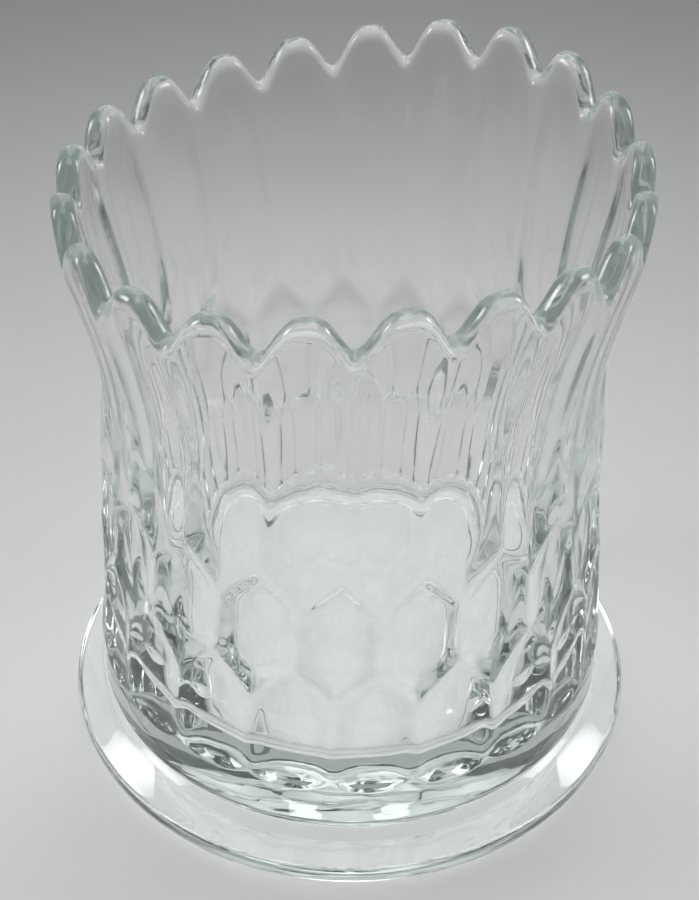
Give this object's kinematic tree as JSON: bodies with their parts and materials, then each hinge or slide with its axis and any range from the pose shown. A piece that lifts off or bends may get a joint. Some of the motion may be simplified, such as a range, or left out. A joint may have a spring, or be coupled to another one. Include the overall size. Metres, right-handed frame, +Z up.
{
  "type": "glass vase",
  "caption": "Clear pressed-glass vase with a scalloped rim, a fluted and honeycombed waisted bowl and a wide round foot.",
  "frame": {"origin": "centre of the flat ring under the foot, on the surface that the vase stands on", "axes": "+Z up along the vase's own axis; -Y is the front, where two scallops of the rim meet in a valley"},
  "size_m": [0.1164, 0.1164, 0.1325],
  "materials": {
    "clear_glass": "clear, fire-polished, with a faint cool grey-green tint in thick glass"
  },
  "bodies": {
    "root": {"bowl": "clear_glass", "foot": "clear_glass"}
  },
  "joints": []
}
